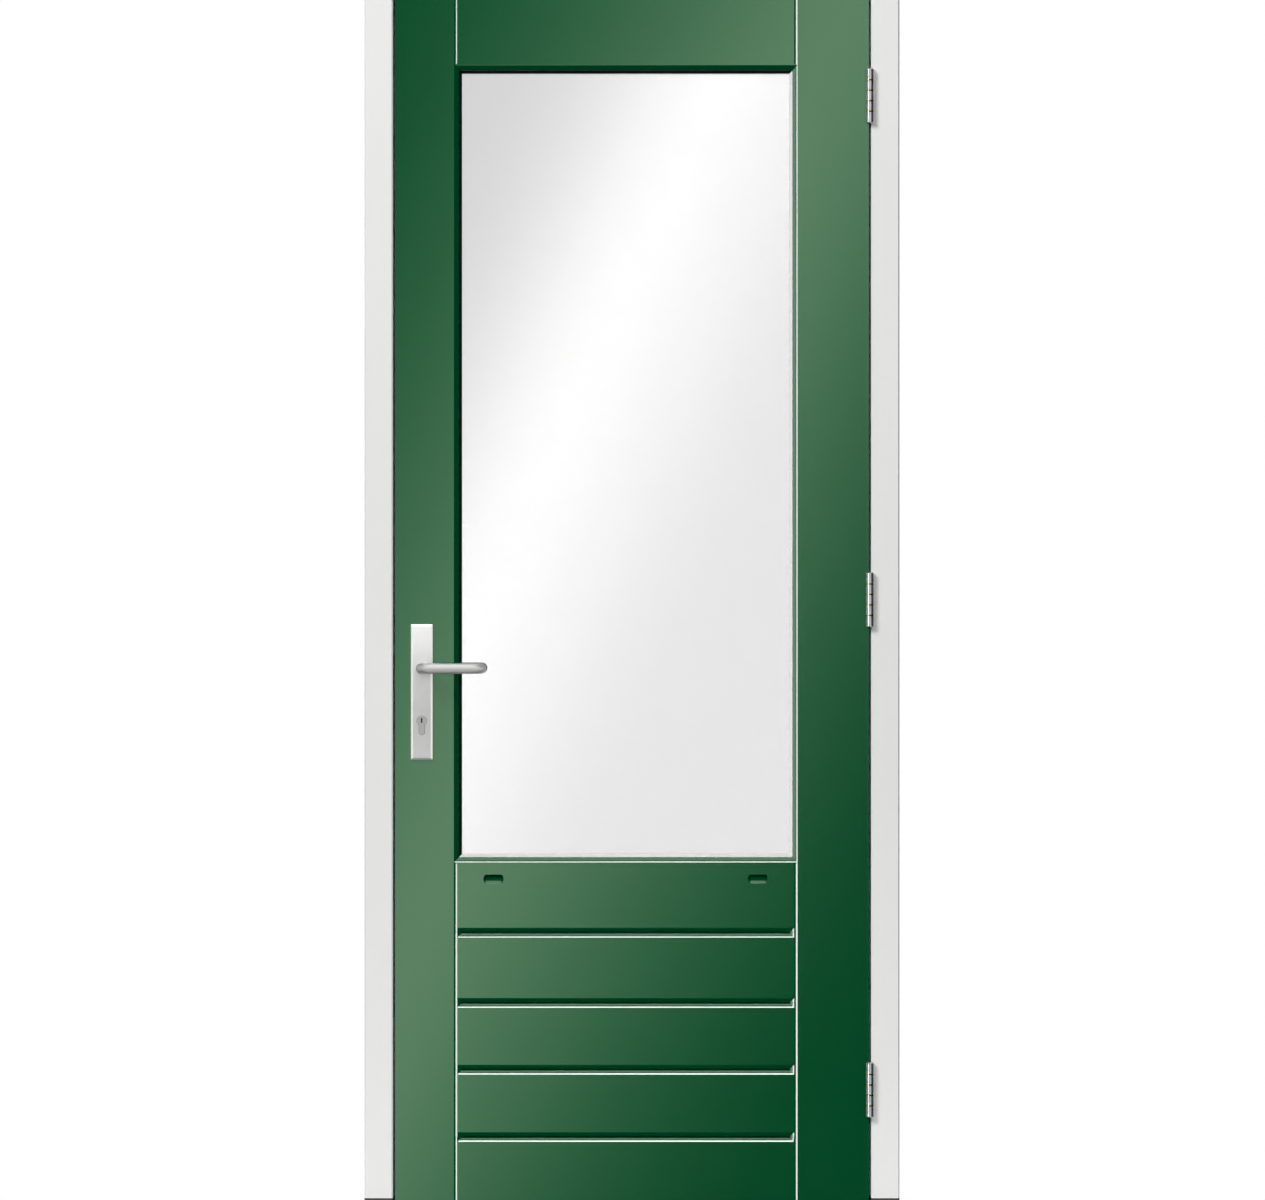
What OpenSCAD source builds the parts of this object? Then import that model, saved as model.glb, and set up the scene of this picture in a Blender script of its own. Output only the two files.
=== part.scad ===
// Half-glazed back door with three boards under the glass, hung in its frame.
// Millimetres. +X runs to the hinge side, +Y into the house and +Z up.
// The origin is the middle of the threshold's underside, halfway through the frame's depth.

/* [Leaf] */
// Width of the leaf
leaf_w = 830; // [730:1:1030]
// Height of the leaf
leaf_h = 2115; // [2015:1:2415]
// Thickness of the leaf
leaf_t = 54; // [54:1:68]
// Face width of the stile that carries the lock
lock_stile_w = 103; // [100:1:150]
// Face width of the stile that carries the hinges
hinge_stile_w = 125; // [95:1:160]
// Face height of the top rail
top_rail_h = 121; // [95:1:160]
// Face height of the rail under the glass
mid_rail_h = 123; // [110:1:180]
// Face height of the upper board
upper_board_h = 123; // [90:1:160]
// Face height of the middle board
middle_board_h = 117; // [90:1:160]
// Face height of the lower board
lower_board_h = 118; // [90:1:160]
// Face height of the bottom rail
bottom_rail_h = 117; // [95:1:200]

/* [Joinery] */
// Half the width of the V joint where a rail or a board meets a stile
vee_w = 3; // [1:0.5:4]
// Depth of that V joint
vee_d = 1.4; // [0.6:0.2:3]
// Thickness of the tongues between the boards
tongue_t = 10; // [8:1:14]
// Length of the tongues
tongue_l = 8; // [6:1:12]
// Room round a tongue in its groove
tongue_play = 0.2; // [0.1:0.1:0.4]
// Diameter of the dowels
dowel_d = 12; // [10:1:16]
// Length of the leaf's dowels
dowel_l = 100; // [80:5:120]
// Distance from a rail's lower edge to its first dowel
dowel_first = 40; // [30:1:50]
// Distance between the two dowels of a rail end
dowel_step = 40; // [30:1:45]
// Room round a dowel in its hole
dowel_play = 0.1; // [0.05:0.05:0.2]

/* [Board seams] */
// Width of a seam at the face
seam_w = 17; // [10:0.5:24]
// Depth of the seam's chamfers
seam_d = 4; // [3:0.5:9]
// Width of the V between two chamfers
seam_gap = 4; // [1:0.5:5]
// Depth of that V below the chamfers
seam_slot_d = 4.5; // [1:0.5:6]

/* [Glazing] */
// Width of the eased edges along the seams and round the glass
arris_w = 3; // [1:0.5:4]
// Depth of those eased edges
arris_d = 1.4; // [0.3:0.1:1.5]
// Width of the bevel round the glass, eased edge included
bevel_w = 9; // [8:0.5:16]
// Depth of that bevel
bevel_d = 5.5; // [4:0.5:9]
// Thickness of the wood in front of the glass
lip_t = 13; // [11:0.5:14]
// Depth of the glazing rebate, from the sight line
glazing_rebate = 17; // [16:0.5:22]
// Overlap of the glass behind the sight line
glass_bite = 12; // [10:0.5:13]
// Thickness of one pane
pane_t = 4; // [4:0.5:5]
// Space between the panes
cavity_t = 16; // [12:1:16]
// Thickness of the seal in front of the glass
outer_seal_t = 3; // [2:0.5:4]
// Thickness of the seal behind the glass
inner_seal_t = 2; // [1.5:0.5:3]
// Width of both glazing seals behind the wood
glazing_seal_w = 9; // [6:0.5:10]
// Width of the outer glazing seal's sloping lip, which shows beside the wood
seal_lip_w = 5; // [2:0.5:7]
// Room round the beads
bead_play = 0.3; // [0.1:0.1:0.5]
// Height of a bead's edge next to the glass
bead_edge_t = 4; // [2:0.5:6]
// Width of a bead's sloping face
bead_slope_w = 10; // [6:0.5:12]
// Length of the setting blocks
block_l = 90; // [60:5:120]
// Distance from an end of the rail under the glass to the middle of the drain slot near it
drain_in = 66.5; // [58:0.5:148]
// Distance from the glazed opening's lower edge down to the middle of a drain slot
drain_below = 29; // [26:1:36]
// Width of a drain slot
drain_w = 35; // [20:1:45]
// Height of a drain slot at the face
drain_h = 15; // [8:1:16]
// Slope of a drain slot, up into the rebate
drain_slope = 52; // [35:1:56]

/* [Frame] */
// Width of a jamb, stop included
jamb_w = 67; // [60:1:90]
// Depth of the frame
frame_depth = 114; // [114:1:160]
// Width of the rebate that the leaf closes into
rebate_w = 17; // [15:1:22]
// Width of the frame's eased edges
frame_arris = 2.5; // [1:0.5:4]
// Gap between the leaf and the frame, at the sides and the top
edge_gap = 3.5; // [3:0.5:5]
// Gap between the leaf and the stop
seal_gap = 4; // [3:0.5:6]
// Diameter of the holes for the wall fixings
fixing_d = 10.2; // [8:0.1:12.4]
// Height of the middle of the wall fixings
fixing_z = 1120; // [1050:5:1200]
// Distance between the outer wall fixings of a jamb
fixing_outer = 1800; // [1500:10:1850]
// Distance between the inner wall fixings of a jamb
fixing_inner = 640; // [400:10:900]
// Length of the dowels at the frame's corners
frame_dowel_l = 70; // [50:5:76]

/* [Weather seals] */
// Width of a seal's kerf
kerf_w = 3; // [2:0.5:4]
// Depth of a seal's kerf
kerf_d = 6; // [4:0.5:8]
// Distance of a seal from the edge of its stop
seal_inset = 5; // [5:0.5:8]
// Room between a seal and the closed leaf
seal_play = 0.3; // [0.2:0.1:0.5]

/* [Threshold] */
// Height of the threshold's seat at the stop
seat_h = 42; // [36:1:60]
// Height of the threshold at its nose
nose_h = 30; // [20:1:34]
// Reach of the nose beyond the frame
nose_l = 23; // [10:1:40]
// Height of the upstand above the seat
upstand_h = 20; // [18:1:24]
// Gap between the leaf and the seat
bottom_gap = 10; // [8:1:10]

/* [Hinges] */
// Height of a hinge
hinge_h = 89; // [76:1:102]
// Distance from the leaf's top to the middle of the top hinge
hinge_top = 175; // [120:1:220]
// Distance from the leaf's bottom to the middle of the middle hinge
hinge_middle = 1058; // [900:1:1200]
// Distance from the leaf's bottom to the middle of the bottom hinge
hinge_bottom = 200; // [120:1:280]
// Radius of a hinge's barrel
barrel_r = 7; // [6:0.5:9]
// Radius of a hinge pin
pin_r = 4; // [3:0.5:5]
// Running clearance round a hinge pin
pin_play = 0.05; // [0.02:0.01:0.08]
// Thickness of a hinge leaf
flap_t = 3; // [2.5:0.5:4]
// Width of a hinge leaf let into the wood
flap_in = 37; // [30:1:42]
// Thickness of a bearing ring with its play
ring_t = 2.5; // [1.5:0.5:4]

/* [Lock] */
// Distance from the leaf's edge to the lever's axis
backset = 47; // [45:1:50]
// Height of the lever's axis above the leaf's bottom
lever_h = 938; // [850:1:1050]
// Distance from the lever's axis down to the cylinder
cylinder_drop = 92; // [85:1:110]
// Thickness of the lock case
case_t = 15; // [15:0.5:18]
// Depth of the lock case behind the leaf's edge
case_depth = 78; // [77:1:86]
// Thickness of the lock case's walls
case_wall = 1.5; // [1:0.25:2]
// Width of the forend
forend_w = 22; // [20:1:24]
// Length of the forend
forend_l = 235; // [225:1:260]
// Thickness of the forend
forend_t = 3; // [2:0.5:4]
// Projection of the latch bolt
latch_out = 12; // [10:0.5:12]
// Height of the latch bolt's head
latch_h = 25; // [20:1:28]
// Thickness of the latch and dead bolts
bolt_t = 11.4; // [10:0.1:11.6]
// Height of the dead bolt
bolt_h = 32; // [24:1:34]
// Side of the square spindle
spindle_w = 8; // [7:0.5:9]
// Radius of the cylinder's round part
cylinder_r = 8.5; // [8:0.1:9]
// Width of the cylinder's lobe
lobe_w = 10; // [9:0.5:11]
// Overall height of the cylinder
cylinder_h = 33; // [30:0.5:34]
// Reach of the cylinder beyond each plate
cylinder_out = 1.5; // [1:0.5:3]
// Radius of the plugs
plug_r = 6.5; // [6:0.1:7]
// Running clearance of the turning pieces
turn_play = 0.05; // [0.02:0.01:0.08]

/* [Handle] */
// Width of a plate
plate_w = 38; // [34:1:44]
// Height of a plate
plate_h = 237; // [225:1:260]
// Thickness of a plate
plate_t = 8; // [7:0.5:10]
// Height of a plate's top above the lever's axis
plate_top = 77; // [70:1:90]
// Width of the bevel round a plate
plate_bevel = 3.3; // [1:0.1:4]
// Depth of that bevel
plate_bevel_d = 2.4; // [1:0.1:3]
// Diameter of a lever's bar
lever_d = 18.5; // [16:0.5:20]
// Reach of a lever from its axis to its end
lever_l = 113; // [100:1:135]
// Distance from the leaf's face to the middle of the grip
lever_out = 55; // [52:1:65]
// Radius of a lever's bends, on the middle of the bar
lever_bend = 15; // [12:1:16]
// Length of the return at a lever's end
lever_return = 12; // [6:1:20]

/* [Hidden] */
$fn = 48;

paint_green = [0.01, 0.29, 0.16];
paint_white = [0.93, 0.93, 0.91];
composite = [0.22, 0.23, 0.24];
raw_wood = [0.72, 0.55, 0.36];
steel = [0.68, 0.69, 0.70];
satin = [0.82, 0.82, 0.81];
brass = [0.78, 0.64, 0.36];
rubber = [0.06, 0.06, 0.06];
clear = [0.86, 0.92, 0.93, 0.4];

// Room by which a cut runs past the face that it opens
cut = 1;
// Room between fixed pieces that slip into one another
slip = 0.3;

// Faces of the frame and of the leaf, front to back
outer_y = -frame_depth / 2;
inner_y = frame_depth / 2;
leaf_back_y = outer_y + leaf_t;
leaf_mid_y = outer_y + leaf_t / 2;
stop_y = leaf_back_y + seal_gap;

// Sides of the leaf and of the frame
leaf_l = -leaf_w / 2;
leaf_r = leaf_w / 2;
rebate_x = leaf_w / 2 + edge_gap;
clear_x = rebate_x - rebate_w;
frame_x = clear_x + jamb_w;

// Heights
upstand_z = seat_h + upstand_h;
leaf_z0 = seat_h + bottom_gap;
leaf_z1 = leaf_z0 + leaf_h;
head_rebate_z = leaf_z1 + edge_gap;
head_stop_z = head_rebate_z - rebate_w;
frame_top_z = head_stop_z + jamb_w;
seam_1 = leaf_z0 + bottom_rail_h;
seam_2 = seam_1 + lower_board_h;
seam_3 = seam_2 + middle_board_h;
seam_4 = seam_3 + upper_board_h;

// Rectangles round the glass, each as left, right, bottom and top
opening = [leaf_l + lock_stile_w, leaf_r - hinge_stile_w, seam_4 + mid_rail_h, leaf_z1 - top_rail_h];
sight = inset(opening, bevel_w);
rebate = inset(sight, -glazing_rebate);
glass = inset(sight, -glass_bite);
open_l = opening[0];
open_r = opening[1];
// The rails' shoulders, whose V joints run in line with the bevel's outer edge
rail_l = open_l + vee_w;
rail_r = open_r - vee_w;
open_z0 = opening[2];
open_z1 = opening[3];

// Layers of the glazing, front to back
lip_y = outer_y + lip_t;
pane_y = lip_y + outer_seal_t;
cavity_y = pane_y + pane_t;
inner_pane_y = cavity_y + cavity_t;
inner_seal_y = inner_pane_y + pane_t;
bead_y = inner_seal_y + inner_seal_t;

// Depth by which a bevelled lip is rooted in its own stile or rail
lip_root = 2;

// Dowels of the leaf, as heights of their axes
dowel_z = [
    for (rail_z = [leaf_z0, seam_4, open_z1], i = [0, 1]) rail_z + dowel_first + i * dowel_step
];

// Room at the end of a dowel's hole
dowel_room = 1;

// Width of the groove for a tongue
groove_t = tongue_t + 2 * tongue_play;

// Corner dowels of the frame stand in the thick part of the jambs
thick_x = (clear_x + frame_x) / 2;
thick_y = (stop_y + inner_y) / 2;
fixing_at = [
    fixing_z - fixing_outer / 2, fixing_z - fixing_inner / 2,
    fixing_z + fixing_inner / 2, fixing_z + fixing_outer / 2
];

// Weather seals
bulb_r = seal_gap - seal_play;
kerf_play = 0.1;
threshold_seal_z = upstand_z - seal_inset;

// Hinges
hinge_x = leaf_r + edge_gap / 2;
barrel_play = 0.5;
hinge_y = outer_y - barrel_r - barrel_play;
hinge_z = [leaf_z1 - hinge_top, leaf_z0 + hinge_middle, leaf_z0 + hinge_bottom];
knuckles = 5;
knuckle_h = (hinge_h - (knuckles - 1) * ring_t) / knuckles;
frame_knuckles = [0, 2, 4];
door_knuckles = [1, 3];
ring_play = 0.1;
pin_head_h = 4;

// Countersunk wood screws of the hinges, the forend and the strike plate
screw_r = 2.2;
screw_head_r = 4.2;
screw_head_h = 2.4;
screw_l = 35;
screw_tip = 5;
screw_play = 0.1;
cross_l = 5;
cross_w = 1.2;
cross_d = 1.6;
hinge_screw_rows = [12, 26];
hinge_screw_edge = 11;
hinge_screw_step = (hinge_h - 2 * hinge_screw_edge) / 3;

// Lock
lock_x = leaf_l + backset;
lever_z = leaf_z0 + lever_h;
cylinder_z = lever_z - cylinder_drop;
case_x0 = leaf_l + forend_t;
case_x1 = leaf_l + case_depth;
case_y0 = leaf_mid_y - case_t / 2;
case_y1 = leaf_mid_y + case_t / 2;
case_above = 47;
case_below = 31;
case_z0 = cylinder_z - case_below;
case_z1 = lever_z + case_above;
forend_z = (case_z0 + case_z1) / 2;
forend_screw_z = [(forend_z - forend_l / 2 + case_z0) / 2, (forend_z + forend_l / 2 + case_z1) / 2];
latch_above = 28.5;
latch_z = lever_z + latch_above;
latch_in = 14;
latch_back = leaf_l + latch_in;
latch_rod_r = 3;
latch_edge = 1.5;
guide_in = 44;
guide_x = leaf_l + guide_in;
guide_t = 2;
bolt_above = 18;
bolt_z = cylinder_z + bolt_above + bolt_h / 2;
bolt_rest = 0.5;
bolt_in = 32;
bolt_back = leaf_l + bolt_in;
bolt_tail_l = 28;
bolt_tail = bolt_back + bolt_tail_l;
bolt_tail_t = 5;
bolt_tail_h = 20;

// The follower's arm draws the latch by a post on its rod
follower_r = 11;
follower_boss_r = 8.8;
arm_w = 6;
arm_h = 22;
arm_t = 8;
post_t = 3;
post_play = 1.8;
post_x = lock_x + arm_w / 2 + post_play;
post_above = 12.5;
post_z = lever_z + post_above;
rod_over = 2;
latch_rod_end = post_x + post_t + rod_over;
spindle_play = 0.1;

// Latch spring, round the rod between the latch's head and the guide
spring_wire_r = 0.6;
spring_room = 0.6;
spring_r = latch_rod_r + spring_room + spring_wire_r;
spring_turns = 7;
spring_steps = 12;
spring_sides = 6;

// Cylinder, with a slot in the middle for the cam
cylinder_y0 = outer_y - plate_t - cylinder_out;
cylinder_y1 = leaf_back_y + plate_t + cylinder_out;
lobe_z = cylinder_r - cylinder_h + lobe_w / 2;
cam_w = 10;
cam_play = 0.2;
cam_reach = 15.3;
cam_nose_w = 7;
cam_hub_r = 8;
bridge_z = -16;
cylinder_room = 1;
cylinder_screw_drop = 20;
cylinder_screw_z = cylinder_z - cylinder_screw_drop;
cylinder_screw_r = 2.5;
key_w = 2.6;
key_h = 8.5;
key_edge = 1.5;
key_depth = 22;

// Strike plate and its box in the lock jamb
strike_t = 3;
strike_edge = 3;
strike_behind = 14;
strike_over = 42;
strike_y0 = outer_y + strike_edge;
strike_y1 = leaf_mid_y + strike_behind;
strike_z0 = bolt_z - bolt_h / 2 - strike_over;
strike_z1 = latch_z + latch_h / 2 + strike_over;
strike_screw_in = 14;
strike_screw_z = [strike_z0 + strike_screw_in, strike_z1 - strike_screw_in];
strike_room = 1.5;
strike_wall = 1.5;
strike_box_d = 24;

// Plates and levers
plate_z1 = lever_z + plate_top;
plate_z0 = plate_z1 - plate_h;
plate_screw_in = 21;
plate_screw_z = [plate_z0 + plate_screw_in, plate_z1 - plate_screw_in];
post_r = 4.5;
post_l = 22;
plate_screw_r = 2.2;
plate_screw_end = 8;
bush_wall = 2;
plate_front = 2;
lever_r = lever_d / 2;
lever_start = 0.5;
spindle_reach = 30;
grub_r = 2.5;
grub_l = 4.6;
grub_out = 20;

// A rectangle made smaller by d on all sides
function inset(r, d) = [r[0] + d, r[1] - d, r[2] + d, r[3] - d];

module block(x0, x1, y0, y1, z0, z1) {
    translate([x0, y0, z0]) cube([x1 - x0, y1 - y0, z1 - z0]);
}

// A profile drawn as (y, z), run along X
module along_x(x0, x1) {
    translate([x0, 0, 0]) rotate([90, 0, 90]) linear_extrude(x1 - x0) children();
}

// A profile drawn as (x, z), run along Y
module along_y(y0, y1) {
    translate([0, y1, 0]) rotate([90, 0, 0]) linear_extrude(y1 - y0) children();
}

// A profile drawn as (x, y), run along Z
module along_z(z0, z1) {
    translate([0, 0, z0]) linear_extrude(z1 - z0) children();
}

module rod_x(x0, x1, y, z, r) {
    translate([x0, y, z]) rotate([0, 90, 0]) cylinder(h = x1 - x0, r = r);
}

module rod_y(y0, y1, x, z, r) {
    translate([x, y1, z]) rotate([90, 0, 0]) cylinder(h = y1 - y0, r = r);
}

module rod_z(z0, z1, x, y, r) {
    translate([x, y, z0]) cylinder(h = z1 - z0, r = r);
}

// The same shape on the leaf's other face
module other_face() {
    translate([0, 2 * leaf_mid_y, 0]) mirror([0, 1, 0]) children();
}

// One side of a picture-frame ring, mitred at 45 degrees
module mitred_side(side, outer, inner, y0, y1) {
    o = [[outer[0], outer[2]], [outer[1], outer[2]], [outer[1], outer[3]], [outer[0], outer[3]]];
    i = [[inner[0], inner[2]], [inner[1], inner[2]], [inner[1], inner[3]], [inner[0], inner[3]]];
    n = (side + 1) % 4;
    along_y(y0, y1) polygon([o[side], o[n], i[n], i[side]]);
}

BOTTOM = 0;
RIGHT = 1;
TOP = 2;
LEFT = 3;

// Bevelled lip in front of the glass: the profile's first number runs towards the glass
lip_profile = [
    [-lip_root, outer_y], [0, outer_y], [arris_w, outer_y + arris_d], [bevel_w, outer_y + bevel_d],
    [bevel_w, lip_y], [-lip_root, lip_y]
];

// A profile drawn as (towards the glass, y), run along one side of a rectangle
module run_along(side, r) {
    if (side == LEFT) translate([r[0], 0, r[2]]) linear_extrude(r[3] - r[2]) children();
    if (side == RIGHT) translate([r[1], 0, r[2]]) linear_extrude(r[3] - r[2]) mirror([1, 0]) children();
    if (side == BOTTOM)
        translate([r[0], 0, r[2]]) rotate([90, 0, 90]) linear_extrude(r[1] - r[0])
            mirror([1, -1]) children();
    if (side == TOP)
        translate([r[0], 0, r[3]]) rotate([90, 0, 90]) linear_extrude(r[1] - r[0])
            mirror([0, 1]) mirror([1, -1]) children();
}

// What a stile carries above and below the opening, up to the rails' shoulders
module shoulders(x0, x1) {
    block(x0, x1, outer_y, leaf_back_y, leaf_z0, open_z0);
    block(x0, x1, outer_y, leaf_back_y, open_z1, leaf_z1);
}

module lip(side) {
    difference() {
        intersection() {
            run_along(side, opening) polygon(lip_profile);
            mitred_side(side, inset(opening, -lip_root), sight, outer_y, lip_y);
        }
        if (side == BOTTOM || side == TOP) {
            shoulders(open_l - cut, rail_l);
            shoulders(rail_r, open_r + cut);
        }
    }
}

// Room for the glass and its beads
module glazing_room() {
    block(rebate[0], rebate[1], lip_y, leaf_back_y + cut, rebate[2], rebate[3]);
}

// V joints along the stiles, on both faces of the leaf
module vee_joints() {
    below = [leaf_z0 - cut, open_z0];
    above = [open_z1, leaf_z1 + cut];
    for (x = [rail_l, rail_r], y = [outer_y, leaf_back_y], z = [below, above])
        along_z(z[0], z[1]) translate([x, y]) polygon([[-vee_w, 0], [0, -vee_d], [vee_w, 0], [0, vee_d]]);
}

// Chamfered trough at a seam, with eased edges, hipped at its ends
module seam_trough(z) {
    half = seam_w / 2;
    slot = seam_gap / 2;
    eased = half - arris_w;
    run = half - slot;
    eased_y = outer_y + arris_d;
    floor_y = outer_y + seam_d;
    slot_y = floor_y + seam_slot_d;
    left = rail_l + vee_w;
    right = rail_r - vee_w;
    intersection() {
        along_x(left, right) polygon([
            [outer_y - cut, z - half], [outer_y, z - half], [eased_y, z - eased], [floor_y, z - slot],
            [slot_y, z],
            [floor_y, z + slot], [eased_y, z + eased], [outer_y, z + half], [outer_y - cut, z + half]
        ]);
        along_z(z - seam_w, z + seam_w) polygon([
            [left, outer_y - cut], [left, outer_y], [left + arris_w, eased_y], [left + run, floor_y],
            [left + half, slot_y], [right - half, slot_y],
            [right - run, floor_y], [right - arris_w, eased_y], [right, outer_y], [right, outer_y - cut]
        ]);
    }
}

module seams(z_list) {
    for (z = z_list) {
        seam_trough(z);
        other_face() seam_trough(z);
    }
}

// Tongue in the middle of the leaf's thickness
module tongue(x0, x1, z0, z1, t = tongue_t) {
    block(x0, x1, leaf_mid_y - t / 2, leaf_mid_y + t / 2, z0, z1);
}

// Groove for the tongue of the piece below
module lower_groove(z) {
    far = tongue_l + cut;
    tongue(rail_l - far, rail_r + far, z - cut, z + tongue_l + tongue_play, groove_t);
}

// A piece between the stiles, with its V joints cut
module between_stiles(z0, z1) {
    difference() {
        block(rail_l, rail_r, outer_y, leaf_back_y, z0, z1);
        vee_joints();
    }
}

module leaf_dowel_rods(r, room = 0) {
    for (x = [rail_l, rail_r], z = dowel_z)
        rod_x(x - dowel_l / 2 - room, x + dowel_l / 2 + room, leaf_mid_y, z, r);
}

module dowel_holes() {
    leaf_dowel_rods(dowel_d / 2 + dowel_play, dowel_room);
}

// Groove in both stiles for the ends of the boards
module board_groove() {
    reach = tongue_l + tongue_play;
    tongue(rail_l - reach, rail_r + reach, seam_1 - tongue_play, seam_4 + tongue_play, groove_t);
}

// Cross recess in the head of a screw along +Z
module cross_recess() {
    for (size = [[cross_l, cross_w], [cross_w, cross_l]])
        translate([-size[0] / 2, -size[1] / 2, -cut]) cube([size[0], size[1], cut + cross_d]);
}

// Countersunk screw along +Z, its head at the origin
module screw_solid() {
    difference() {
        union() {
            cylinder(h = screw_head_h, r1 = screw_head_r, r2 = screw_r);
            translate([0, 0, screw_head_h]) cylinder(h = screw_l - screw_tip - screw_head_h, r = screw_r);
            translate([0, 0, screw_l - screw_tip]) cylinder(h = screw_tip, r1 = screw_r, r2 = screw_r / 4);
        }
        cross_recess();
    }
}

module screw_hole() {
    translate([0, 0, -cut]) cylinder(h = cut, r = screw_head_r + screw_play);
    cylinder(h = screw_head_h, r1 = screw_head_r + screw_play, r2 = screw_r + screw_play);
    cylinder(h = screw_l + cut, r = screw_r + screw_play);
}

module to_left(x, y, z) {
    translate([x, y, z]) rotate([0, -90, 0]) children();
}

module to_right(x, y, z) {
    translate([x, y, z]) rotate([0, 90, 0]) children();
}

// Places of the screws of one hinge leaf
module at_hinge_screws(z) {
    for (i = [0 : 3])
        translate([0, outer_y + hinge_screw_rows[i % 2], z + (i - 1.5) * hinge_screw_step]) children();
}

module door_screw_places() {
    for (z = hinge_z) at_hinge_screws(z) to_left(leaf_r, 0, 0) children();
    for (z = forend_screw_z) to_right(leaf_l, leaf_mid_y, z) children();
}

module frame_screw_places() {
    for (z = hinge_z) at_hinge_screws(z) to_right(rebate_x, 0, 0) children();
    for (z = strike_screw_z) to_left(-rebate_x, leaf_mid_y, z) children();
}

// Recess for a hinge leaf in the wood that it is screwed to
module hinge_recesses(x0, x1) {
    for (z = hinge_z)
        block(x0, x1, outer_y - cut, outer_y + flap_in, z - hinge_h / 2, z + hinge_h / 2);
}

function knuckle_z(z, i) = z - hinge_h / 2 + i * (knuckle_h + ring_t);

// One leaf of a butt hinge, with its knuckles
module hinge_leaf(z, x0, own, other) {
    difference() {
        union() {
            difference() {
                block(x0, x0 + flap_t, hinge_y, outer_y + flap_in, z - hinge_h / 2, z + hinge_h / 2);
                for (i = other)
                    rod_z(knuckle_z(z, i) - ring_t, knuckle_z(z, i) + knuckle_h + ring_t,
                        hinge_x, hinge_y, barrel_r + barrel_play);
            }
            for (i = own) rod_z(knuckle_z(z, i), knuckle_z(z, i) + knuckle_h, hinge_x, hinge_y, barrel_r);
        }
        rod_z(z - hinge_h, z + hinge_h, hinge_x, hinge_y, pin_r + pin_play);
        children();
    }
}

module door_hinge_leaf(i) {
    color(steel) hinge_leaf(hinge_z[i], leaf_r - flap_t, door_knuckles, frame_knuckles)
        at_hinge_screws(hinge_z[i]) to_left(leaf_r, 0, 0) screw_hole();
}

module frame_hinge_leaf(i) {
    color(steel) hinge_leaf(hinge_z[i], rebate_x, frame_knuckles, door_knuckles)
        at_hinge_screws(hinge_z[i]) to_right(rebate_x, 0, 0) screw_hole();
}

// Outline of the profile cylinder as (x, z), round its own axis
module cylinder_outline(play = 0) {
    translate([lock_x, cylinder_z]) {
        circle(cylinder_r + play);
        translate([-lobe_w / 2 - play, lobe_z]) square([lobe_w + 2 * play, -lobe_z]);
        translate([0, lobe_z]) circle(lobe_w / 2 + play);
    }
}

// Long plate with all four edges bevelled, on the leaf's outer face
module plate_blank() {
    x0 = lock_x - plate_w / 2;
    x1 = lock_x + plate_w / 2;
    y0 = outer_y - plate_t;
    y1 = outer_y;
    b = plate_bevel;
    d = plate_bevel_d;
    intersection() {
        along_z(plate_z0, plate_z1)
            polygon([[x0, y1], [x1, y1], [x1, y0 + d], [x1 - b, y0], [x0 + b, y0], [x0, y0 + d]]);
        along_x(x0, x1) polygon([
            [y1, plate_z0], [y1, plate_z1], [y0 + d, plate_z1], [y0, plate_z1 - b],
            [y0, plate_z0 + b], [y0 + d, plate_z0]
        ]);
    }
}

// Cuts that both plates share: the lever's hole, the bush behind it and the cylinder
module plate_cuts() {
    rod_y(outer_y - plate_t - cut, outer_y + cut, lock_x, lever_z, lever_r + slip);
    rod_y(outer_y - plate_t + plate_front, outer_y + cut, lock_x, lever_z, bush_r() + turn_play);
    along_y(outer_y - plate_t - cut, outer_y + cut) cylinder_outline(slip);
}

function bush_r() = lever_r + turn_play + bush_wall;

// Bent bar on the leaf's outer face: neck, bend, grip, bend and return
module lever_bar() {
    far = lever_l - lever_r;
    bend_y = outer_y - lever_out + lever_bend;
    difference() {
        union() {
            rod_y(bend_y, outer_y - lever_start, lock_x, lever_z, lever_r);
            translate([lock_x + lever_bend, bend_y, lever_z]) rotate(180)
                rotate_extrude(angle = 90) translate([lever_bend, 0]) circle(lever_r);
            rod_x(lock_x + lever_bend, lock_x + far - lever_bend, outer_y - lever_out, lever_z, lever_r);
            translate([lock_x + far - lever_bend, bend_y, lever_z]) rotate(270)
                rotate_extrude(angle = 90) translate([lever_bend, 0]) circle(lever_r);
            rod_y(bend_y, bend_y + lever_return, lock_x + far, lever_z, lever_r);
        }
        square_hole(outer_y - spindle_reach - slip, outer_y);
        rod_z(lever_z - lever_r - cut, lever_z, lock_x, outer_y - grub_out, grub_r + spindle_play);
    }
}

module square_hole(y0, y1) {
    half = spindle_w / 2 + spindle_play;
    block(lock_x - half, lock_x + half, y0, y1, lever_z - half, lever_z + half);
}

// L-shaped jamb on the hinge side, standing on the threshold
module jamb_blank() {
    difference() {
        along_z(upstand_z, head_rebate_z) polygon([
            [rebate_x, outer_y], [frame_x, outer_y], [frame_x, inner_y],
            [clear_x, inner_y], [clear_x, stop_y], [rebate_x, stop_y]
        ]);
        block(0, frame_x + cut, stop_y, inner_y + cut, head_stop_z, head_rebate_z + cut);
        for (z = fixing_at) rod_x(clear_x - cut, frame_x + cut, thick_y, z, fixing_d / 2);
        along_z(upstand_z - cut, head_stop_z + cut) translate([clear_x + seal_inset, stop_y]) kerf();
        for (corner = [[rebate_x, outer_y], [frame_x, outer_y], [clear_x, inner_y], [frame_x, inner_y]])
            along_z(upstand_z - cut, head_rebate_z + cut) translate(corner) eased_edge();
    }
}

// Cut that takes a small flat off a frame's edge
module eased_edge() {
    rotate(45) square(frame_arris * sqrt(2), center = true);
}

// Kerf and seal profiles as (x, y): the stop's face is y = 0 and the leaf lies below it
module kerf() {
    translate([-kerf_w / 2, -cut]) square([kerf_w, kerf_d + cut]);
}

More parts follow.
